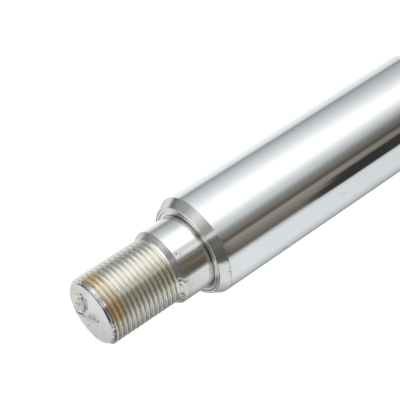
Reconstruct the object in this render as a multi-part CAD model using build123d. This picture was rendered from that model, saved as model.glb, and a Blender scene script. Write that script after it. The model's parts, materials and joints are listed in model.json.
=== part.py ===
from build123d import *
from math import radians, tan
import os

# A hard-chromed piston rod, turned from one bar. It stands on its plain end at z = 0 with its
# axis along z, and carries the piston's seat and thread at the top. All sizes are in millimetres.

# Chromed body
body_diameter = 30.0
body_height = 93.0  # from the plain end to the shoulder face
plain_end_chamfer = 1.0
shoulder_chamfer_height = 2.75
shoulder_chamfer_angle = 30.0  # from the rod's axis
body_edge_radius = 0.3
shoulder_edge_break = 0.1

# Ground spigot that centres the piston
spigot_diameter = 22.2
spigot_length = 10.75  # from the shoulder face to the start of the thread
spigot_lead_height = 1.5
spigot_lead_depth = 0.95
undercut_width = 0.5
undercut_depth = 0.2  # and the radius of its bottom corners

# Shallow rings that the facing tool left in the shoulder face
face_ring_diameter = 24.2  # of the innermost ring
face_ring_spacing = 0.9
face_ring_count = 2
face_ring_width = 0.4
face_ring_depth = 0.12

# Threaded stud, at the major diameter of its fine thread
thread_diameter = 20.0
thread_length = 22.5
thread_chamfer = 1.0

body_radius = body_diameter / 2
spigot_radius = spigot_diameter / 2
thread_radius = thread_diameter / 2
shoulder_chamfer_depth = shoulder_chamfer_height * tan(radians(shoulder_chamfer_angle))
shoulder_z = body_height
thread_z = shoulder_z + spigot_length
top_z = thread_z + thread_length


def turned_blank():
    """The rod's outer form: half of its section, turned about the axis."""
    body_edge = (body_radius, shoulder_z - shoulder_chamfer_height)
    shoulder_edge = (body_radius - shoulder_chamfer_depth, shoulder_z)
    outline = Polyline(
        (0, 0),
        (body_radius - plain_end_chamfer, 0),
        (body_radius, plain_end_chamfer),
        body_edge,
        shoulder_edge,
        (spigot_radius, shoulder_z),
        (spigot_radius, thread_z - spigot_lead_height),
        (spigot_radius - spigot_lead_depth, thread_z),
        (thread_radius, thread_z),
        (thread_radius, top_z - thread_chamfer),
        (thread_radius - thread_chamfer, top_z),
        (0, top_z),
        close=True,
    )
    section = make_face(outline)
    section = fillet(corner_at(section, body_edge), body_edge_radius)
    section = chamfer(corner_at(section, shoulder_edge), shoulder_edge_break)
    return revolve(Plane.XZ * section, axis=Axis.Z)


def corner_at(section, place):
    """The corner of a flat section that lies at the given place."""
    return section.vertices().sort_by_distance(Vector(*place))[0]


def undercut():
    """Grinding relief round the foot of the spigot, rounded so that it leaves the seat face whole."""
    groove = Rectangle(2 * undercut_depth, undercut_width, align=(Align.CENTER, Align.MIN))
    bottom_corners = groove.vertices().group_by(Axis.X)[0]
    groove = fillet(bottom_corners, undercut_depth)
    return revolve(Plane.XZ * Pos(spigot_radius, shoulder_z) * groove, axis=Axis.Z)


def face_ring(index):
    """One round-bottomed ring in the shoulder face, counted outwards from the spigot."""
    ring_radius = face_ring_diameter / 2 + index * face_ring_spacing
    arc_radius = ((face_ring_width / 2) ** 2 + face_ring_depth**2) / (2 * face_ring_depth)
    arc_z = shoulder_z + arc_radius - face_ring_depth
    return revolve(Plane.XZ * Pos(ring_radius, arc_z) * Circle(arc_radius), axis=Axis.Z)


piston_rod = turned_blank() - undercut()
for index in range(face_ring_count):
    piston_rod -= face_ring(index)

os.makedirs("parts", exist_ok=True)
export_step(piston_rod, "parts/piston_rod.step")
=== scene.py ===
import bpy
import bmesh
import json
from functools import reduce
from math import cos, exp, hypot, pi, radians, sin, tan
from mathutils import Matrix, Vector, noise


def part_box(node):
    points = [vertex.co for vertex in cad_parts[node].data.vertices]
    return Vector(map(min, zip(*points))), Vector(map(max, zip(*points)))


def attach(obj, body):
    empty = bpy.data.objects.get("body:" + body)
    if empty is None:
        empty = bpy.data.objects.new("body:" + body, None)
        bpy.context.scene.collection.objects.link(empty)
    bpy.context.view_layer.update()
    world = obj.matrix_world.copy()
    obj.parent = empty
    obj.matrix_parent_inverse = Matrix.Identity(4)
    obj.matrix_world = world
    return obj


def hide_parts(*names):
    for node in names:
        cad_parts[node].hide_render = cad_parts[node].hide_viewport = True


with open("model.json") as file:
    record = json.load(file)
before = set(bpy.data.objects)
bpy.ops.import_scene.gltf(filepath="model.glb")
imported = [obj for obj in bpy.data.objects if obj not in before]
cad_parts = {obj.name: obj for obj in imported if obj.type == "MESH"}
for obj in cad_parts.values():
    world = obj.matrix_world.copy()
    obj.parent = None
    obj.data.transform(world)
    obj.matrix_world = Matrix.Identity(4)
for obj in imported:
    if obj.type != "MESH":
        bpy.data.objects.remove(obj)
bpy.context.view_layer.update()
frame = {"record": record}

# The chrome piston rod stands on its plain end at the origin, with its axis along Z. A turn is an
# angle round the axis: turn 0 faces -Y, where the camera is, and 90 degrees faces +X.

mm = 0.001

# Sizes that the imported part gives
mounts = {mount["name"]: mount for mount in frame["record"]["mounts"]}
body_radius = mounts["rod_body"]["dims"]["r_mm"] * mm
spigot_radius = mounts["piston_spigot"]["dims"]["r_mm"] * mm
thread_radius = mounts["thread"]["dims"]["r_mm"] * mm
shoulder_z = mounts["piston_shoulder"]["pos_m"][2]
top_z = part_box("piston_rod")[1].z

# Turned body and shoulder
plain_end_chamfer = 1.0 * mm
shoulder_chamfer_height = 2.75 * mm
shoulder_chamfer_angle = radians(30)
body_edge_radius = 0.3 * mm
body_edge_gap = 0.15 * mm  # kept free of evenly spaced rows of points on each side of that edge
shoulder_edge_break = 0.1 * mm
face_ring_radius = 12.1 * mm  # of the innermost ring
face_ring_spacing = 0.9 * mm
face_ring_width = 0.4 * mm
face_ring_depth = 0.12 * mm

# Spigot
spigot_length = 10.75 * mm
spigot_lead_height = 1.5 * mm
spigot_lead_depth = 0.95 * mm
undercut_width = 0.5 * mm
undercut_depth = 0.2 * mm
tool_mark_size = 0.6 * mm
tool_mark_depth = 0.035 * mm
tool_mark_start = 0.3 * mm  # height over which the tool marks begin

# Thread
pitch = 1.5 * mm
thread_depth = 0.86 * mm
flank_angle = radians(30)
crest_half_width = 0.14 * mm  # from its middle to the middle of its worn edge
crest_edge_half_width = 0.07 * mm
root_half_width = 0.1875 * mm
crest_wear_size = 1.3 * mm
crest_wear_depth = 0.025 * mm
runout_start = 0.1 * mm
runout_length = 0.8 * mm
end_chamfer = 1.0 * mm

body_edge_z = shoulder_z - shoulder_chamfer_height
shoulder_radius = body_radius - shoulder_chamfer_height * tan(shoulder_chamfer_angle)
thread_z = shoulder_z + spigot_length
lead_z = thread_z - spigot_lead_height
end_radius = thread_radius - end_chamfer
thread_turns = round((top_z - thread_z) / pitch) + 1
first_crest_z = top_z - end_chamfer - thread_turns * pitch  # so that a crest meets the end chamfer

columns = 240  # steps round the rod

# Directions across the end face, to the right and up as the camera sees it
face_right_turn = radians(-17.8)
face_right = Vector((sin(face_right_turn), -cos(face_right_turn)))
face_up = Vector((-face_right.y, face_right.x))


def smooth(value, start, end):
    """0 before start, 1 after end, and an even curve between them."""
    share = min(max((value - start) / (end - start), 0), 1)
    return share * share * (3 - 2 * share)


def spread(start, end, count):
    """Evenly spaced values after start, up to end."""
    return [start + (end - start) * step / count for step in range(1, count + 1)]


def point(turn, radius, z):
    return (radius * sin(turn), -radius * cos(turn), z)


class Skin:
    """The rod's surface, laid row by row from the middle of the plain end to the middle of the other."""

    def __init__(self):
        self.vertices = []
        self.faces = []
        self.finishes = []

    def row(self, shape, finish):
        """Adds a row of points, shape(turn) giving each one's radius and height, and joins it on."""
        start = len(self.vertices)
        for column in range(columns + 1):
            turn = 2 * pi * column / columns
            self.vertices.append(point(turn, *shape(turn)))
        if start:
            for column in range(start, start + columns):
                below = column - columns - 1
                self.faces.append((below, below + 1, column + 1, column))
                self.finishes.append(finish)

    def ring(self, radius, z, finish):
        self.row(lambda turn: (radius, z), finish)


def build_plain_end(skin):
    skin.ring(0, 0, "faced_steel")
    for radius in spread(0, body_radius - plain_end_chamfer, count=6):
        skin.ring(radius, 0, "faced_steel")
    skin.ring(body_radius, plain_end_chamfer, "faced_steel")


def build_body(skin):
    """The chromed cylinder, with a rounded edge where the wide chamfer starts."""
    round_start_z = body_edge_z - body_edge_radius * tan(shoulder_chamfer_angle / 2)
    for z in spread(plain_end_chamfer, round_start_z - body_edge_gap, count=10):
        skin.ring(body_radius, z, "hard_chrome")
    skin.ring(body_radius, round_start_z, "hard_chrome")
    for angle in spread(0, shoulder_chamfer_angle, count=3):
        radius = body_radius - body_edge_radius * (1 - cos(angle))
        skin.ring(radius, round_start_z + body_edge_radius * sin(angle), "hard_chrome")


def build_shoulder_chamfer(skin):
    """The wide cone, and the narrow break between it and the shoulder face."""
    cone_end_z = shoulder_z - shoulder_edge_break * cos(shoulder_chamfer_angle)
    for z in spread(body_edge_z + body_edge_gap, cone_end_z, count=12):
        radius = body_radius - (z - body_edge_z) * tan(shoulder_chamfer_angle)
        skin.row(lambda turn: nicked(turn, radius, z), "turned_steel")
    skin.ring(shoulder_radius - shoulder_edge_break, shoulder_z, "turned_steel")


def build_shoulder_face(skin):
    """The piston's seat, with the shallow rings that the facing tool left."""
    for ring in (1, 0):
        middle = face_ring_radius + ring * face_ring_spacing
        for share in (-1, -0.6, -0.2, 0.2, 0.6, 1):
            radius = middle - share * face_ring_width / 2
            skin.ring(radius, shoulder_z - face_ring_depth * (1 - share * share), "faced_steel")
    skin.ring(spigot_radius, shoulder_z, "faced_steel")


def build_undercut(skin):
    """The grinding relief at the foot of the spigot: a groove with two rounded corners."""
    for angle in spread(0, pi / 2, count=3):
        radius = spigot_radius - undercut_depth * sin(angle)
        skin.ring(radius, shoulder_z + undercut_depth * (1 - cos(angle)), "faced_steel")
    for angle in spread(pi / 2, 0, count=3):
        radius = spigot_radius - undercut_depth * sin(angle)
        z = shoulder_z + undercut_width - undercut_depth * (1 - cos(angle))
        skin.ring(radius, z, "faced_steel")


def build_spigot(skin):
    """The ground cylinder, its roughly cut lead and the step down to the thread."""
    for z in spread(shoulder_z + undercut_width, lead_z, count=14):
        skin.row(lambda turn: nicked(turn, spigot_radius, z), "ground_steel")
    for z in spread(lead_z, thread_z, count=12):
        radius = spigot_radius - spigot_lead_depth * (z - lead_z) / spigot_lead_height
        skin.row(lambda turn: nicked(turn, radius + tool_mark(turn, radius, z), z), "rough_steel")
    skin.ring(thread_radius, thread_z, "rough_steel")


def tool_mark(turn, radius, z):
    """Small hollows and ridges that a blunt tool left in the spigot's lead."""
    height = tool_mark_depth * noise.noise(Vector(point(turn, radius, z)) / tool_mark_size)
    return height * smooth(z, lead_z, lead_z + tool_mark_start)


# Nicks: turn in degrees, then height, half size along the rod, half size round it and depth in millimetres
nicks = (
    # in the spigot's lead
    (-60, 103.3, 0.32, 0.45, 0.45),
    (-65, 102.95, 0.22, 0.5, 0.3),
    (-69, 103.2, 0.25, 0.35, 0.25),
    (-39, 103.5, 0.25, 0.3, 0.2),
    (-43, 103.2, 0.2, 0.3, 0.12),
    (-31, 103.6, 0.2, 0.4, 0.15),
    (-24, 103.65, 0.15, 0.4, 0.12),
    (-36, 102.5, 0.18, 0.35, 0.12),
    # in the shoulder's chamfer
    (-47.5, 90.35, 0.2, 0.25, 0.15),
    # in the end chamfer
    (-34, 125.7, 0.25, 0.3, 0.2),
    (-42, 125.5, 0.3, 0.35, 0.3),
    (-46, 126.0, 0.2, 0.3, 0.25),
    (-61, 126.0, 0.2, 0.3, 0.3),
    (-70, 125.4, 0.25, 0.3, 0.2),
    (-50, 125.8, 0.25, 0.3, 0.25),
    (-57, 125.4, 0.3, 0.4, 0.3),
    (-65, 125.7, 0.25, 0.35, 0.25),
    (62, 125.9, 0.2, 0.5, 0.15),
)
nick_reach = 3  # how many half sizes from its middle a nick still cuts


def nicked(turn, radius, z):
    """The radius with each nick near this place cut into it, and the height as it was."""
    for nick_turn, nick_z, half_height, half_width, depth in nicks:
        up = (z / mm - nick_z) / half_height
        if abs(up) > nick_reach:
            continue
        turned = (turn - radians(nick_turn) + pi) % (2 * pi) - pi
        across = turned * radius / mm / half_width
        if abs(across) < nick_reach:
            radius -= depth * mm * exp(-(up * up + across * across))
    return radius, z


def groove_depth(offset):
    """Depth of a full thread at this distance along the rod from the middle of a crest."""
    past_crest = offset - crest_half_width
    if past_crest < crest_edge_half_width:
        worn = max(0, past_crest + crest_edge_half_width)
        return worn * worn / (4 * crest_edge_half_width) / tan(flank_angle)
    root_start = pitch / 2 - root_half_width
    if offset <= root_start:
        return past_crest / tan(flank_angle)
    flank_depth = (root_start - crest_half_width) / tan(flank_angle)
    bend = sin((offset - root_start) / root_half_width * pi / 2)
    return flank_depth + (thread_depth - flank_depth) * bend


def build_thread(skin):
    """The thread itself: rows that climb round the rod by one pitch in a turn, clamped to its two ends."""
    crest_rows = [crest_half_width + side * crest_edge_half_width for side in (-1, 0, 1)]
    flank_foot = 0.55 * mm
    root_bend = 0.65 * mm
    one_side = crest_rows + [flank_foot, root_bend]
    offsets = [-offset for offset in reversed(one_side)] + [0] + one_side + [pitch / 2]
    for number in range(thread_turns + 2):
        for offset in offsets:
            row_z = first_crest_z + number * pitch + offset
            skin.row(lambda turn: thread_point(turn, row_z, abs(offset)), "thread_steel")


def thread_point(turn, row_z, offset):
    """Where a row of the thread passes this turn. Past either end it stays at that end's height."""
    climb = pitch * turn / (2 * pi)
    z = min(max(row_z + climb, thread_z), top_z)
    if z != row_z + climb:
        offset = abs((z - first_crest_z - climb + pitch / 2) % pitch - pitch / 2)
    cut = smooth(z, thread_z + runout_start, thread_z + runout_start + runout_length)
    wear = crest_wear_depth * noise.noise(Vector(point(turn, thread_radius, z)) / crest_wear_size)
    radius = thread_radius - groove_depth(offset) * cut - abs(wear) * cut
    chamfer_radius = end_radius + (top_z - z)
    return nicked(turn, min(radius, chamfer_radius), z)


def build_end_face(skin):
    """The end of the bar, with a torn patch where it was broken off its centre."""
    for radius in spread(end_radius, 0, count=56):
        skin.row(lambda turn: (radius, top_z + face_relief(turn, radius)), "end_steel")


# Ovals on the end face: millimetres to the right and up of its middle, as the camera sees it, half
# length and half width in millimetres, and tilt in degrees
torn_patch = (-3.6, 2.7, 5.2, 2.4, 27)

# Heights of the torn patch in millimetres
patch_height = 0.24
patch_lean = 0.13  # lost from its middle to its upper edge
patch_least_height = 0.02
coarse_tear_height = 0.16
fine_tear_height = 0.12
face_edge_width = 0.5 * mm  # over which the patch fades out at the edge of the face


def oval_place(right, up, oval):
    """How far along and across an oval a place on the end face lies, as shares of its half sizes."""
    middle_right, middle_up, half_length, half_width, tilt = oval
    right -= middle_right
    up -= middle_up
    along = right * cos(radians(tilt)) + up * sin(radians(tilt))
    across = up * cos(radians(tilt)) - right * sin(radians(tilt))
    return along / half_length, across / half_width


def face_noise(right, up, fineness, pattern):
    """Smooth random heights across the end face, between -1 and 1."""
    return noise.noise(Vector((right * fineness, up * fineness, pattern)))


def patch_share(right, up):
    """1 inside the torn patch and 0 outside it, with a ragged edge that is steepest at its lower right."""
    along, across = oval_place(right, up, torn_patch)
    ragged = 0.22 * face_noise(right, up, 0.9, 3.0) + 0.12 * face_noise(right, up, 2.5, 7.0)
    edge_width = 0.1 + 0.35 * smooth(across, -0.4, 0.6)
    return 1 - smooth(hypot(along, across) + ragged, 1.0 - edge_width, 1.0)


def face_relief(turn, radius):
    """How far the torn patch stands up from the end face at this place."""
    right, up = face_place(point(turn, radius, 0))
    across = oval_place(right, up, torn_patch)[1]
    coarse = coarse_tear_height * face_noise(right, up, 1.3, 0.0)
    fine = fine_tear_height * face_noise(right, up, 3.1, 1.0)
    height = patch_height - patch_lean * across + coarse + fine
    relief = patch_share(right, up) * max(height, patch_least_height)
    return relief * mm * smooth(end_radius - radius, 0, face_edge_width)


def face_place(place):
    """Millimetres to the right and up across the end face, as the camera sees it."""
    flat = Vector(place[:2])
    return flat.dot(face_right) / mm, flat.dot(face_up) / mm


def rod_mesh():
    skin = Skin()
    build_plain_end(skin)
    build_body(skin)
    build_shoulder_chamfer(skin)
    build_shoulder_face(skin)
    build_undercut(skin)
    build_spigot(skin)
    build_thread(skin)
    build_end_face(skin)
    mesh = bpy.data.meshes.new("piston_rod_turned")
    mesh.from_pydata(skin.vertices, [], skin.faces)
    names = list(dict.fromkeys(skin.finishes))
    for name in names:
        mesh.materials.append(materials[name]())
    for polygon, finish in zip(mesh.polygons, skin.finishes):
        polygon.material_index = names.index(finish)
        polygon.use_smooth = True
    weld(mesh)
    mesh.set_sharp_from_angle(angle=radians(28))
    return mesh


def weld(mesh):
    """Joins the last column of points to the first, and points that rows share, and drops empty faces."""
    closest = 0.0005 * mm
    welded = bmesh.new()
    welded.from_mesh(mesh)
    bmesh.ops.remove_doubles(welded, verts=welded.verts, dist=closest)
    bmesh.ops.dissolve_degenerate(welded, edges=welded.edges, dist=closest)
    welded.to_mesh(mesh)
    welded.free()


class Shader:
    """Short calls that add nodes to one node tree. A value may be a number, a colour or a socket."""

    def __init__(self, tree):
        self.tree = tree
        tree.nodes.clear()

    def set(self, socket, value):
        if isinstance(value, bpy.types.NodeSocket):
            self.tree.links.new(value, socket)
        elif value is not None:
            socket.default_value = value

    def node(self, kind, settings=None, **inputs):
        made = self.tree.nodes.new(kind)
        for name, value in (settings or {}).items():
            setattr(made, name, value)
        for name, value in inputs.items():
            self.set(made.inputs[name.replace("_", " ")], value)
        return made

    def math(self, operation, first, second=None):
        made = self.tree.nodes.new("ShaderNodeMath")
        made.operation = operation
        for socket, value in zip(made.inputs, (first, second)):
            self.set(socket, value)
        return made.outputs[0]

    def product(self, *values):
        return reduce(lambda first, second: self.math("MULTIPLY", first, second), values)

    def total(self, *values):
        return reduce(lambda first, second: self.math("ADD", first, second), values)

    def most(self, *values):
        return reduce(lambda first, second: self.math("MAXIMUM", first, second), values)

    def less(self, value, taken):
        return self.math("SUBTRACT", value, taken)

    def step(self, value, start, end, low=0.0, high=1.0):
        """low before start and high after end, with an even curve between them."""
        made = self.node("ShaderNodeMapRange", {"interpolation_type": "SMOOTHSTEP"})
        for socket, setting in zip(made.inputs, (value, start, end, low, high)):
            self.set(socket, setting)
        return made.outputs[0]

    def band(self, value, start, end, soft):
        """1 between start and end, fading to 0 over soft on each side."""
        rise = self.step(value, start - soft, start)
        fall = self.step(value, end, end + soft, 1.0, 0.0)
        return self.product(rise, fall)

    def mix(self, factor, first, second):
        made = self.node("ShaderNodeMix", {"data_type": "RGBA"})
        self.set(made.inputs[0], factor)
        self.set(made.inputs[6], first)
        self.set(made.inputs[7], second)
        return made.outputs[2]

    def ramp(self, value, stops):
        made = self.node("ShaderNodeValToRGB", Fac=value)
        ramp = made.color_ramp
        while len(ramp.elements) < len(stops):
            ramp.elements.new(0.5)
        for element, (position, colour) in zip(ramp.elements, stops):
            element.position = position
            element.color = colour
        return made.outputs[0]

    def noise(self, vector, scale, detail=3.0, roughness=0.5):
        made = self.node("ShaderNodeTexNoise", Vector=vector, Scale=scale, Detail=detail)
        made.inputs["Roughness"].default_value = roughness
        return made.outputs[0]

    def place(self, scale=(1, 1, 1)):
        """The place on the rod in millimetres, each direction multiplied by its scale."""
        object_place = self.node("ShaderNodeTexCoord").outputs["Object"]
        made = self.node("ShaderNodeVectorMath", {"operation": "MULTIPLY"})
        self.set(made.inputs[0], object_place)
        made.inputs[1].default_value = [value / mm for value in scale]
        return made.outputs[0]

    def along(self, direction):
        """Millimetres from the axis in a flat direction."""
        made = self.node("ShaderNodeVectorMath", {"operation": "DOT_PRODUCT"})
        self.set(made.inputs[0], self.place())
        made.inputs[1].default_value = (direction.x, direction.y, 0)
        return made.outputs["Value"]

    def turn_of(self, x, y):
        """Turn in degrees of a flat direction, 0 towards -Y."""
        return self.math("DEGREES", self.math("ARCTAN2", x, self.product(y, -1.0)))

    def cylinder(self):
        """Turn in degrees, distance from the axis and height in millimetres."""
        x, y, z = self.node("ShaderNodeSeparateXYZ", Vector=self.place()).outputs
        squares = self.total(self.product(x, x), self.product(y, y))
        return self.turn_of(x, y), self.math("SQRT", squares), z

    def marks(self, turn, z, table):
        """How dark a table of small marks makes each place. The marks are ovals with ragged edges."""
        ragged = self.noise(self.place(), 2.6, 2.0)
        shift = self.step(ragged, 0.3, 0.7, -0.5, 0.5)
        darkest = 0.0
        for mark_turn, mark_z, half_turn, half_height, darkness in table:
            across = self.math("DIVIDE", self.less(turn, mark_turn), half_turn)
            along = self.total(self.math("DIVIDE", self.less(z, mark_z), half_height), shift)
            squares = self.total(self.product(across, across), self.product(along, along))
            darkest = self.most(darkest, self.step(squares, 0.2, 1.3, darkness, 0.0))
        return darkest

    def metal(self, colour, roughness, bump, bump_height, metallic=1.0):
        """The finished metal, with a bump whose height is in millimetres."""
        relief = self.node("ShaderNodeBump", Height=bump, Distance=bump_height * mm, Strength=1.0)
        principled = self.node("ShaderNodeBsdfPrincipled", Metallic=metallic, Roughness=roughness)
        self.set(principled.inputs["Base Color"], colour)
        self.set(principled.inputs["Normal"], relief.outputs[0])
        self.node("ShaderNodeOutputMaterial", Surface=principled.outputs[0])

    def by_ray(self, reflected, seen):
        """One shader for reflected light, and another for what the camera sees itself."""
        camera_ray = self.node("ShaderNodeLightPath").outputs["Is Camera Ray"]
        choice = self.node("ShaderNodeMixShader")
        for socket, value in zip(choice.inputs, (camera_ray, reflected, seen)):
            self.set(socket, value)
        return choice.outputs[0]


def new_shader(name):
    material = bpy.data.materials.new(name)
    material.use_nodes = True
    return material, Shader(material.node_tree)


# Heights and a radius on the rod in millimetres, for the shaders
shoulder_mm = shoulder_z / mm
thread_start_mm = thread_z / mm
top_mm = top_z / mm
spigot_radius_mm = spigot_radius / mm

# Tables of marks: turn in degrees, height in millimetres, half size round the rod in degrees, half size
# along it in millimetres, and darkness

# A pit, a smudge and a dent in the chrome
chrome_flaws = (
    (-28.8, 76.3, 0.9, 0.25, 0.9),
    (-72, 69.8, 5, 1.1, 0.3),
    (-46, 47.5, 0.8, 1.3, 0.35),
)

# A scratch on the chamfer, its spur, a speck and a dull edge
chamfer_marks = (
    (-47.5, 90.55, 0.8, 0.4, 0.8),
    (-46.5, 90.9, 0.7, 0.15, 0.3),
    (-34, 91.9, 0.8, 0.3, 0.3),
    (-48, 90.45, 14, 0.07, 0.45),
)

# Rubbed marks on the spigot
spigot_rubs = (
    (16.5, 100.5, 1.8, 0.4, 0.55),
    (20, 101.2, 1.4, 0.35, 0.45),
    (5, 101.3, 3.5, 0.4, 0.45),
    (1, 100.4, 2.0, 0.25, 0.35),
    (-5.5, 94.4, 5, 0.3, 0.35),
    (-9, 98.2, 6, 0.2, 0.2),
)

# Dirt and painted shade in the nicks of the spigot's lead, and two broad stains on it
lead_dirt_and_shade = (
    (-60, 103.3, 3.2, 0.28, 0.85),
    (-65.5, 102.95, 5.5, 0.2, 0.5),
    (-69, 103.25, 3.0, 0.2, 0.4),
    (-75, 103.1, 14.0, 0.9, 0.48),
    (7, 103.0, 18.0, 1.2, 0.26),
    (-39, 103.5, 2.2, 0.15, 0.4),
    (-44, 103.2, 3.5, 0.12, 0.3),
    (-51, 103.1, 5.0, 0.2, 0.25),
    (-31, 103.6, 3.5, 0.13, 0.4),
    (-24, 103.65, 3.0, 0.13, 0.35),
    (-36, 102.5, 3.0, 0.10, 0.35),
)


def hard_chrome():
    """Polished hard chrome: nearly a mirror, with a trace of the polishing belt and faint smudges."""
    material, shader = new_shader("hard_chrome")
    turn, _, z = shader.cylinder()
    belt = shader.noise(shader.place((0.4, 0.4, 6.0)), 3.0, 2.0)
    smudge = shader.noise(shader.place(), 0.08, 4.0)
    chrome = (0.81, 0.82, 0.82, 1)
    flawed = (0.2, 0.2, 0.2, 1)
    colour = shader.mix(shader.marks(turn, z, chrome_flaws), chrome, flawed)
    polish = shader.step(smudge, 0.45, 0.7, 0.045, 0.07)
    brushed = shader.step(belt, 0.4, 0.7, 0.0, 0.015)
    shader.metal(colour, shader.total(polish, brushed), belt, 0.00004)
    return material


def turned_steel():
    """The satin chamfer: fine rings left by the turning tool."""
    material, shader = new_shader("turned_steel")
    turn, _, z = shader.cylinder()
    rings = shader.noise(shader.place((0.15, 0.15, 9.0)), 1.6, 3.0)
    bare = (0.78, 0.80, 0.77, 1)
    marked = (0.12, 0.12, 0.11, 1)
    colour = shader.mix(shader.marks(turn, z, chamfer_marks), bare, marked)
    shader.metal(colour, shader.step(rings, 0.3, 0.7, 0.12, 0.18), rings, 0.0004)
    return material


def faced_steel():
    """Faces cut across the bar, with fine rings round the axis, and painted shade in the undercut."""
    material, shader = new_shader("faced_steel")
    _, radius, z = shader.cylinder()
    section = shader.node("ShaderNodeCombineXYZ", X=radius, Y=z)
    rings = shader.noise(section.outputs[0], 7.0, 3.0)
    # Painted shade: the undercut groove at the spigot's foot is coloured darker, where its shadow falls.
    inner = shader.step(radius, spigot_radius_mm + 0.05, spigot_radius_mm + 0.3, 1.0, 0.0)
    undercut_shade = shader.product(inner, shader.step(z, shoulder_mm - 0.15, shoulder_mm - 0.05))
    bare = (0.78, 0.785, 0.765, 1)
    painted_shade_colour = (0.43, 0.435, 0.41, 1)
    colour = shader.mix(undercut_shade, bare, painted_shade_colour)
    shader.metal(colour, shader.step(rings, 0.3, 0.7, 0.10, 0.18), rings, 0.006)
    return material


def ground_steel():
    """The ground spigot: soft bright steel with fine rings, streaks, specks, rubbed marks and tarnish."""
    material, shader = new_shader("ground_steel")
    turn, _, z = shader.cylinder()
    rings = shader.noise(shader.place((0.2, 0.2, 8.0)), 1.8, 3.0)
    streaks = shader.noise(shader.place((1.0, 1.0, 0.12)), 1.4, 3.0)
    specks = shader.step(shader.noise(shader.place(), 2.2, 2.0), 0.68, 0.76, 0.0, 0.3)
    dark = shader.most(specks, shader.marks(turn, z, spigot_rubs))
    fading = shader.step(z, shoulder_mm + 1.0, shoulder_mm + 8.0, 0.75, 0.35)
    tarnish = shader.product(shader.band(turn, 42.0, 64.0, 12.0), fading)
    bare = (0.835, 0.85, 0.83, 1)
    tarnished = (0.60, 0.60, 0.565, 1)
    marked = (0.25, 0.23, 0.2, 1)
    colour = shader.mix(dark, shader.mix(tarnish, bare, tarnished), marked)
    ground = shader.step(rings, 0.3, 0.7, 0.09, 0.13)
    streaked = shader.step(streaks, 0.5, 0.75, 0.0, 0.05)
    shader.metal(colour, shader.total(ground, streaked), rings, 0.0003)
    return material


def rough_steel():
    """The spigot's lead, cut with a blunt tool: torn and matt, darker in its hollows, with dirt and painted
    shade in its nicks.
    """
    material, shader = new_shader("rough_steel")
    turn, _, z = shader.cylinder()
    grain = shader.noise(shader.place(), 3.0, 4.0, 0.6)
    hollow = (0.59, 0.585, 0.55, 1)
    ridge = (0.83, 0.82, 0.78, 1)
    dirt_and_painted_shade = (0.10, 0.10, 0.09, 1)
    torn = shader.mix(shader.step(grain, 0.35, 0.6), hollow, ridge)
    # Dirt and painted shade: the nicks are coloured dark.
    colour = shader.mix(shader.marks(turn, z, lead_dirt_and_shade), torn, dirt_and_painted_shade)
    shader.metal(colour, shader.step(grain, 0.3, 0.7, 0.3, 0.2), grain, 0.02)
    return material


def thread_steel():
    """Cut thread: bright crests, grime and painted shade in the roots, rust near the end, and a pitted end
    chamfer with painted dark reflections.
    """
    material, shader = new_shader("thread_steel")
    turn, radius, z = shader.cylinder()
    depth = shader.less(thread_radius / mm, radius)
    grain = shader.noise(shader.place((1.0, 1.0, 2.0)), 2.5, 4.0, 0.6)
    chamfer_start = top_mm - end_chamfer / mm
    on_chamfer = shader.step(z, chamfer_start - 0.06, chamfer_start + 0.02)
    off_chamfer = shader.less(1.0, on_chamfer)
    # Grime and painted shade: the roots of the thread are coloured darker.
    grime_and_shade = shader.product(shader.step(depth, 0.35, 0.8), shader.step(grain, 0.2, 0.6, 0.7, 1.0), off_chamfer)
    colour = shader.mix(grime_and_shade, stained_steel(shader), root_grime_and_shade(shader, turn, z))
    chamfer_metal = (0.87, 0.87, 0.865, 1)
    colour = shader.mix(on_chamfer, colour, chamfer_metal)
    rust = shader.product(rust_share(shader, turn, depth, z), off_chamfer)
    colour = shader.mix(rust, colour, rust_colour(shader, turn, grain))
    # Pits, and painted dark reflections on the end chamfer.
    pits_and_painted_reflections = shader.product(on_chamfer, end_chamfer_pits_and_painted_reflections(shader, turn, z))
    dirt_and_painted_shade = (0.09, 0.088, 0.08, 1)
    colour = shader.mix(pits_and_painted_reflections, colour, dirt_and_painted_shade)
    metallic = shader.less(1.0, shader.product(rust, 0.45))
    roughness = shader.total(shader.step(grain, 0.3, 0.7, 0.16, 0.26), shader.product(rust, 0.12))
    shader.metal(colour, roughness, grain, 0.004, metallic)
    return material


def stained_steel(shader):
    """The thread's bare metal, with faint yellowish stains."""
    stains = shader.step(shader.noise(shader.place((1.0, 1.0, 1.6)), 0.45, 3.0), 0.42, 0.68, 0.0, 0.7)
    bare = (0.90, 0.895, 0.865, 1)
    stained = (0.85, 0.84, 0.72, 1)
    return shader.mix(stains, bare, stained)


def root_grime_and_shade(shader, turn, z):
    """The roots' colour: pale grime, painted shade that makes them dark round one side, and olive grime in
    front, most of all near the spigot.
    """
    pale = (0.84, 0.83, 0.73, 1)
    dark = (0.30, 0.295, 0.265, 1)
    olive = (0.62, 0.60, 0.30, 1)
    # Painted shade: the roots are coloured dark round this side.
    dark_side = shader.band(turn, -150.0, -36.0, 8.0)
    fading = shader.step(z, thread_start_mm + 0.25, thread_start_mm + 9.25, 0.75, 0.25)
    olive_front = shader.product(shader.band(turn, -40.0, -2.0, 7.0), fading)
    return shader.mix(olive_front, shader.mix(dark_side, pale, dark), olive)


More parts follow.
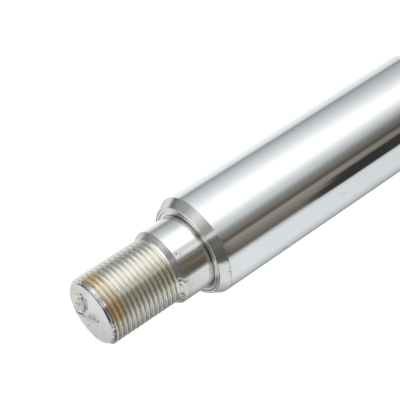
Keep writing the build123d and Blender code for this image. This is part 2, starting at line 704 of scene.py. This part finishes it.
def rust_share(shader, turn, depth, z):
    """Rust in the grooves of the last three turns: thick at one place, less so at another, thin between."""
    blotches = shader.noise(shader.place((1.0, 1.0, 0.5)), 0.7, 4.0, 0.6)
    turn = shader.total(turn, shader.step(blotches, 0.3, 0.7, -9.0, 9.0))
    length = shader.band(z, top_mm - 4.5, top_mm, 1.1)
    thickest = shader.band(turn, -27.0, -9.0, 14.0)
    second = shader.product(shader.band(turn, 42.0, 58.0, 16.0), 0.85)
    thin = shader.product(shader.band(turn, -66.0, 58.0, 8.0), shader.step(turn, -30.0, 10.0, 0.36, 0.4))
    thickness = shader.most(thickest, second, thin)
    left_crests = shader.step(turn, -10.0, 10.0, 0.6, 0.1)
    right_crests = shader.step(turn, 34.0, 46.0, 0.0, 0.65)
    in_groove = shader.step(depth, 0.0, 0.35, shader.total(left_crests, right_crests), 1.0)
    return shader.product(length, thickness, shader.step(blotches, 0.3, 0.65, 0.65, 1.0), in_groove)


def rust_colour(shader, turn, grain):
    """Brown and orange rust, coloured pale on the right as a painted highlight."""
    brown = (0.37, 0.18, 0.03, 1)
    orange = (0.66, 0.39, 0.10, 1)
    pale = (0.75, 0.52, 0.26, 1)
    # Painted highlight: the rust is coloured pale on the right, where the thread lies in the bright
    # reflection.
    return shader.mix(shader.step(turn, 5.0, 30.0), shader.mix(grain, brown, orange), pale)


def end_chamfer_pits_and_painted_reflections(shader, turn, z):
    """How dark the end chamfer is: pits round one side, and painted dark reflections, which are black lines
    at its edges and a darker stretch from turn -31 to -5.
    """
    grain = shader.noise(shader.place(), 2.1, 3.0, 0.6)
    pitted = shader.most(shader.band(turn, -82.0, -34.0, 4.0), 0.35)
    pits = shader.product(shader.step(grain, 0.53, 0.58), pitted)
    # Painted dark reflections: a darker stretch from turn -31 to -5, and black lines along the chamfer's
    # edges.
    dark_reflection_turns = shader.band(turn, -31.0, -5.0, 3.0)
    rim_length = shader.most(shader.band(turn, -31.0, 66.0, 3.0), 0.15)
    painted_rim_line = shader.product(shader.step(z, top_mm - 0.3, top_mm - 0.12), rim_length, 0.85)
    painted_foot_line = shader.product(shader.band(z, top_mm - 0.9, top_mm - 0.75, 0.1), dark_reflection_turns, 0.9)
    painted_dark_stretch = shader.product(dark_reflection_turns, 0.6)
    return shader.most(pits, painted_rim_line, painted_foot_line, painted_dark_stretch)


def end_steel():
    """The satin end face, with painted light across it that makes it darker towards its bottom, lighter
    towards its top and yellower towards its upper left, and a torn patch that holds grime in its hollows,
    with painted shadow along its lower right edge.
    """
    material, shader = new_shader("end_steel")
    grain = shader.noise(shader.place(), 2.0, 4.0, 0.6)
    right = shader.along(face_right)
    up = shader.along(face_up)
    painted_shade_colour = (0.67, 0.695, 0.69, 1)
    painted_light_colour = (0.89, 0.885, 0.895, 1)
    painted_yellow_colour = (0.72, 0.72, 0.65, 1)
    broken = (0.82, 0.79, 0.755, 1)
    dirt_and_painted_shade = (0.10, 0.095, 0.085, 1)
    # Painted light: the face is coloured lighter towards its top, darker towards its bottom, and yellower
    # towards its upper left.
    painted_light_share = shader.step(shader.total(shader.product(right, 0.2), up), -8.5, 5.0)
    painted_yellow_share = shader.step(shader.less(up, shader.product(right, 0.5)), 2.5, 6.0)
    torn = shader.node("ShaderNodeAttribute", {"attribute_name": "torn"}).outputs["Fac"]
    grime_and_shade = shader.node("ShaderNodeAttribute", {"attribute_name": "grime"}).outputs["Fac"]
    colour = shader.mix(painted_light_share, painted_shade_colour, painted_light_colour)
    colour = shader.mix(painted_yellow_share, colour, painted_yellow_colour)
    colour = shader.mix(torn, colour, broken)
    # Grime, and painted shadow along the lower right edge of the torn patch and under it.
    colour = shader.mix(grime_and_shade, colour, dirt_and_painted_shade)
    roughness = shader.total(shader.step(grain, 0.3, 0.7, 0.26, 0.34), shader.product(grime_and_shade, 0.2))
    shader.metal(colour, roughness, grain, 0.003)
    return material


materials = {
    "hard_chrome": hard_chrome,
    "turned_steel": turned_steel,
    "faced_steel": faced_steel,
    "ground_steel": ground_steel,
    "rough_steel": rough_steel,
    "thread_steel": thread_steel,
    "end_steel": end_steel,
}


def build_rod():
    rod = bpy.data.objects.new("turned_rod", rod_mesh())
    bpy.context.scene.collection.objects.link(rod)
    add_grime_and_shadow(rod.data)
    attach(rod, "root")
    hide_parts("piston_rod")


# Grime and painted shadow on the end face: an oval as above, and how dark it is
grime_and_shadow_marks = (
    # painted shadow along the lower right edge of the torn patch, and under it
    (-0.1, 5.9, 0.8, 0.3, 0, 1.1),
    (-0.3, 4.7, 0.8, 0.35, 40, 1.2),
    (0.4, 4.6, 0.5, 0.25, 60, 0.9),
    (-0.1, 3.3, 0.8, 0.3, 65, 1.2),
    (-1.2, 1.9, 0.9, 0.28, 48, 1.2),
    (-2.5, 0.9, 0.9, 0.22, 35, 0.9),
    (-6.0, -0.35, 1.1, 0.3, -12, 1.4),
    (-8.7, -0.3, 0.8, 0.25, 8, 1.2),
    (-5.6, -0.9, 1.7, 0.6, -10, 0.55),
    # in the torn patch
    (-4.8, 2.9, 0.6, 0.3, 15, 0.7),
    (-8.4, 1.3, 0.5, 0.4, 20, 0.6),
    (-2.3, 5.9, 0.6, 0.18, 15, 0.7),
    (-2.6, 4.6, 0.4, 0.3, 30, 0.5),
    (-1.6, 3.6, 0.3, 0.25, 30, 0.5),
    (-6.4, 1.9, 0.4, 0.25, 20, 0.5),
    # beyond its upper edge
    (-3.9, 7.4, 1.3, 0.16, -12, 0.4),
    (-5.6, 7.2, 0.5, 0.15, 30, 0.3),
    # smudges and specks on the rest of the face
    (-0.5, -1.4, 3.4, 1.3, 8, 0.45),
    (2.1, -2.2, 0.8, 0.18, 22, 0.8),
    (-2.2, -1.0, 0.9, 0.15, 30, 0.35),
    (-5.1, -4.0, 0.45, 0.2, 20, 1.2),
    (-3.8, -7.2, 0.6, 0.3, -20, 0.4),
)
dabbed_oval = (0.4, -1.2, 3.2, 1.1, -20)  # where small dark dabs are scattered
dab_darkness = 0.65


def blot(right, up, oval):
    """1 in the middle of an oval, fading evenly outwards."""
    along, across = oval_place(right, up, oval)
    return exp(-along * along - across * across)


def grime_and_shadow_at(right, up):
    """How dark grime and painted shadow make a place on the end face, from 0 to 1."""
    marks = sum(darkness * blot(right, up, oval) for *oval, darkness in grime_and_shadow_marks)
    speckle = smooth(face_noise(right, up, 2.2, 5.0), 0.05, 0.5)
    dabs = blot(right, up, dabbed_oval) * smooth(face_noise(right, up, 1.5, 9.0), 0.05, 0.45)
    patch_specks = 0.22 * patch_share(right, up) * speckle
    return min(1, marks * (0.7 + 0.45 * speckle) + patch_specks + dab_darkness * dabs)


def add_grime_and_shadow(mesh):
    """Writes into the mesh how torn each point of the end face is and how dark its grime and painted shadow
    make it, for its material.
    """
    just_below_face = top_z - 0.05 * mm
    mesh.attributes.new("torn", "FLOAT", "POINT")
    mesh.attributes.new("grime", "FLOAT", "POINT")
    for vertex in mesh.vertices:
        if vertex.co.z > just_below_face:
            right, up = face_place(vertex.co)
            mesh.attributes["torn"].data[vertex.index].value = patch_share(right, up)
            mesh.attributes["grime"].data[vertex.index].value = grime_and_shadow_at(right, up)


# The studio is a round room of tall walls with panels hung before them. A turn there is the direction
# in which a reflected ray leaves the rod, and an elevation is how far it points up, both in degrees.

# Tints of the walls
neutral = (1.0, 1.0, 1.0)
cool = (0.96, 1.0, 1.02)
warm = (1.05, 1.0, 0.92)
brown = (1.09, 0.98, 0.86)

# Walls: a turn, and the brightness and tint there. Each row blends evenly into the next. The values were set
# by comparing the render's levels round each part of the rod with the photograph's.

# The lower walls, which the body and the spigot mirror
lower_walls = (
    (-180, 0.26, cool),
    (-155, 0.40, cool),
    (-138, 0.66, cool),
    (-115, 0.88, cool),
    (-73, 0.88, cool),
    (-66, 0.66, neutral),
    (-61, 0.18, brown),
    (-57, 0.145, brown),
    (-45, 0.23, brown),
    (-33, 0.32, brown),
    (-28, 0.12, brown),
    (-25, 0.115, brown),
    (-20.5, 0.185, warm),
    (-16, 0.23, warm),
    (-12, 0.27, neutral),
    (-8, 0.37, neutral),
    (-4, 0.53, cool),
    (0, 0.68, cool),
    (5, 0.73, cool),
    (13, 0.94, cool),
    (24, 1.3, neutral),
    (38, 1.6, neutral),
    (58, 1.28, neutral),
    (73, 0.98, cool),
    (114, 0.42, cool),
    (118, 0.38, cool),
    (122, 0.74, cool),
    (130, 0.94, cool),
    (150, 1.08, cool),
    (180, 1.15, cool),
)

# The upper walls, which the chamfers and the thread mirror
upper_walls = (
    (-180, 0.45, neutral),
    (-171, 0.36, neutral),
    (-150, 0.36, neutral),
    (-113, 0.84, neutral),
    (-71, 0.84, neutral),
    (-66, 0.09, warm),
    (-57, 0.10, neutral),
    (-40, 0.12, neutral),
    (-17, 0.20, neutral),
    (-8, 0.27, warm),
    (8, 0.34, warm),
    (20, 0.38, neutral),
    (48, 0.90, neutral),
    (57, 0.82, neutral),
    (80, 0.42, neutral),
    (102, 0.34, neutral),
    (122, 0.14, cool),
    (130, 0.80, neutral),
    (180, 0.86, neutral),
)


def grey(brightness):
    return (brightness, brightness, brightness)


# Elevations that several panels share, by what they are for
floor_heights = (-90, -52)
spigot_heights = (-26.4, -24.3)
crest_heights = (-23.4, -10)
low_view_heights = (-21.2, -9.5)
end_face_heights = (8, 22.3)
all_round = (-180, 180)

# Panels: the turns each spans, how soft its sides are, the elevations it spans, how soft its lower and
# upper edges are, and its colour. Each part of the rod shows the camera the panels named for it.
panels = (
    # The floor, darker before the rod and behind it
    (all_round, 1, (-90, -48), 6, grey(0.8)),
    ((10, 50), 70, floor_heights, 6, (0.6, 0.605, 0.61)),
    ((-150, -130), 30, floor_heights, 6, grey(0.5)),
    # The body: a black wedge
    ((-62.7, -53), 4.5, (-46, -31.8), 1.5, (0.04, 0.042, 0.041)),
    ((-62.7, -44.5), 5, (-46, -32.6), 1.2, (0.037, 0.038, 0.037)),
    # The spigot: a bright side, two dark stripes, a grey one and a thin bright line
    ((-100, -74), 18, spigot_heights, 0.5, grey(0.84)),
    ((-54, -40), 5, spigot_heights, 0.5, (0.075, 0.056, 0.042)),
    ((-36, -20), 5, spigot_heights, 0.5, (0.125, 0.102, 0.08)),
    ((7, 15), 4, (-26, -24.2), 0.5, (0.66, 0.66, 0.65)),
    ((-6, 4), 1.5, (-25.7, -24.2), 0.4, (1.2, 1.2, 1.15)),
    # The crests of the thread: dark on the left
    ((-156, -132), 4, crest_heights, 1.2, (0.13, 0.128, 0.133)),
    ((-132, -76), 8, crest_heights, 1.2, (0.20, 0.193, 0.193)),
    ((-60, -12), 6, (-23.4, -8), 1, (0.235, 0.20, 0.125)),
    # The flanks of the thread: dark on the left, grey on the right
    ((-156, -142), 3, (15, 33), 3, (0.22, 0.22, 0.21)),
    ((-156, -120), 6, (34, 62), 8, (0.19, 0.19, 0.18)),
    ((130, 150), 4, (31, 44), 4, grey(0.42)),
    # The end face, in two halves, and the darker shoulder face above it
    ((172, 180), 6, end_face_heights, 0.8, grey(1.1)),
    ((-180, -172), 6, end_face_heights, 0.8, grey(1.1)),
    ((-180, -158), 6, (23.3, 34), 1, (0.10, 0.10, 0.095)),
    # The end chamfer: a dark stretch, a bright one before it, a cold gleam and a dark stripe
    ((-84, -12), 6, (46, 66), 5, (0.18, 0.16, 0.11)),
    ((-122, -92), 6, (25, 42), 4, grey(0.98)),
    ((42, 88), 8, (48, 62), 4, (1.15, 1.1, 1.28)),
    ((22, 38), 6, (58, 76), 4, (0.2, 0.18, 0.17)),
    # The ceiling and a cold gleam, for the flanks of the thread
    (all_round, 1, (77, 90), 9, (0.4, 0.39, 0.34)),
    ((102, 150), 10, (54, 77), 4, (1.22, 1.2, 1.28)),
    # The shoulder's chamfer and the spigot's lead: a dark stripe and a thin bright line
    ((-20, -7), 6, (0, 60), 8, (0.15, 0.148, 0.14)),
    ((-4.5, 3.5), 1.5, (-12, 60), 2, (0.86, 0.86, 0.83)),
    # The end chamfer's gleam in front
    ((-14, 14), 6, (61, 76), 3, (1.3, 1.3, 1.2)),
    # A soft ring, which the body and the spigot mirror in lower views
    (all_round, 1, low_view_heights, 0.8, grey(0.34)),
    ((-180, -178), 32, low_view_heights, 0.8, grey(0.9)),
    ((176, 180), 50, low_view_heights, 0.8, grey(0.9)),
    ((-108, -96), 18, low_view_heights, 0.8, grey(0.32)),
    ((-62, -16), 22, low_view_heights, 0.8, (0.25, 0.23, 0.18)),
    ((24, 66), 26, low_view_heights, 0.8, (1.3, 1.3, 1.27)),
    ((112, 122), 30, low_view_heights, 0.8, (0.2, 0.2, 0.195)),
    ((-61, -55), 5, (-19.5, -10.5), 1.5, (0.6, 0.59, 0.54)),
)


def wall_stops(walls):
    """The rows of a wall as the stops of a colour ramp that runs once round the room."""
    stops = []
    for turn, brightness, tint in walls:
        stops.append(((turn + 180) / 360, [brightness * part for part in tint] + [1]))
    return stops


def low_light(shader, turn, elevation):
    """The share of their light that the lower walls keep near the floor, less in two stretches."""
    floor_line = -38.0
    dark_corner = shader.step(elevation, floor_line, -30.0, 0.2, 0.0)
    dark_corner = shader.product(shader.band(turn, -46.0, 0.0, 8.0), dark_corner)
    dim_side = shader.step(elevation, floor_line, -31.0, 0.1, 0.0)
    dim_side = shader.product(shader.band(turn, 57.0, 92.0, 12.0), dim_side)
    kept = shader.step(elevation, floor_line, -27.0, 0.9, 1.0)
    return shader.less(kept, shader.total(dark_corner, dim_side))


def studio_walls(shader, turn, elevation):
    """The lower walls, and the upper ones that they fade into: slowly, but at once on the left."""
    share = shader.total(shader.math("DIVIDE", turn, 360.0), 0.5)
    lower = shader.ramp(share, wall_stops(lower_walls))
    upper = shader.ramp(share, wall_stops(upper_walls))
    lower = shader.mix(low_light(shader, turn, elevation), (0, 0, 0, 1), lower)
    left_side = shader.step(turn, -2.0, 2.0, 1.0, 0.0)
    left_rise = shader.product(left_side, shader.step(elevation, -26.6, -26.0))
    rise = shader.most(left_rise, shader.step(elevation, -30.0, 8.0))
    return shader.mix(rise, lower, upper)


def build_studio():
    """The room, seen only in reflections, with a white backdrop for the camera."""
    world = bpy.data.worlds.new("studio")
    bpy.context.scene.world = world
    world.use_nodes = True
    world.cycles.sampling_method = "NONE"
    shader = Shader(world.node_tree)
    direction = shader.node("ShaderNodeTexCoord").outputs["Generated"]
    x, y, z = shader.node("ShaderNodeSeparateXYZ", Vector=direction).outputs
    turn = shader.turn_of(x, y)
    elevation = shader.math("DEGREES", shader.math("ARCSINE", z))
    room = studio_walls(shader, turn, elevation)
    for turns, side_softness, heights, edge_softness, colour in panels:
        beside = shader.band(turn, *turns, side_softness)
        level = shader.band(elevation, *heights, edge_softness)
        room = shader.mix(shader.product(beside, level), room, (*colour, 1))
    reflected = shader.node("ShaderNodeBackground", Color=room, Strength=1.0)
    white = shader.node("ShaderNodeBackground", Color=(1, 1, 1, 1), Strength=1.0)
    surface = shader.by_ray(reflected.outputs[0], white.outputs[0])
    shader.node("ShaderNodeOutputWorld", Surface=surface)


def build_floor():
    """A plain white floor that keeps the rod's shadow. Reflections see the studio's walls instead."""
    half_side = 1.5
    height = -0.05 * mm
    corners = [(x * half_side, y * half_side, height) for x, y in ((-1, -1), (1, -1), (1, 1), (-1, 1))]
    mesh = bpy.data.meshes.new("floor")
    mesh.from_pydata(corners, [], [(0, 1, 2, 3)])
    floor = bpy.data.objects.new("floor", mesh)
    bpy.context.scene.collection.objects.link(floor)
    material, shader = new_shader("floor")
    diffuse = shader.node("ShaderNodeBsdfDiffuse", Color=(0.8, 0.8, 0.8, 1))
    glow = shader.node("ShaderNodeEmission", Color=(1, 1, 1, 1), Strength=0.5)
    both = shader.node("ShaderNodeAddShader")
    shader.set(both.inputs[0], diffuse.outputs[0])
    shader.set(both.inputs[1], glow.outputs[0])
    surface = shader.by_ray(diffuse.outputs[0], both.outputs[0])
    shader.node("ShaderNodeOutputMaterial", Surface=surface)
    mesh.materials.append(material)
    floor.visible_glossy = False


def build_lamp():
    """A wide soft lamp above and in front, for what is matt. Polished metal shows the studio instead."""
    lamp = bpy.data.lights.new("soft_lamp", "AREA")
    lamp.shape = "SQUARE"
    lamp.size = 1.2
    lamp.energy = 9.0
    holder = bpy.data.objects.new("soft_lamp", lamp)
    bpy.context.scene.collection.objects.link(holder)
    holder.location = (-0.3, -0.8, 1.0)
    target = Vector((0, 0, 0.1))
    holder.rotation_euler = (target - holder.location).to_track_quat("-Z", "Y").to_euler()
    holder.visible_glossy = False


def build_camera():
    """Looks down along the rod from in front of it, rolled so that the thread points to the lower left."""
    distance = 326.7 * mm
    height = 247.3 * mm
    looking_down = radians(26.945)
    looking_right = radians(1.711)
    roll = radians(122.48)
    camera = bpy.data.cameras.new("camera")
    camera.sensor_width = 36.0
    camera.lens = 119.18
    camera.clip_start = 0.01
    holder = bpy.data.objects.new("camera", camera)
    bpy.context.scene.collection.objects.link(holder)
    place = Matrix.Translation((0, -distance, height))
    aim = Matrix.Rotation(-looking_right, 4, "Z") @ Matrix.Rotation(pi / 2 - looking_down, 4, "X")
    holder.matrix_world = place @ aim @ Matrix.Rotation(-roll, 4, "Z")
    bpy.context.scene.camera = holder


build_rod()
build_studio()
build_floor()
build_lamp()
build_camera()
bpy.context.scene.view_settings.view_transform = "Standard"
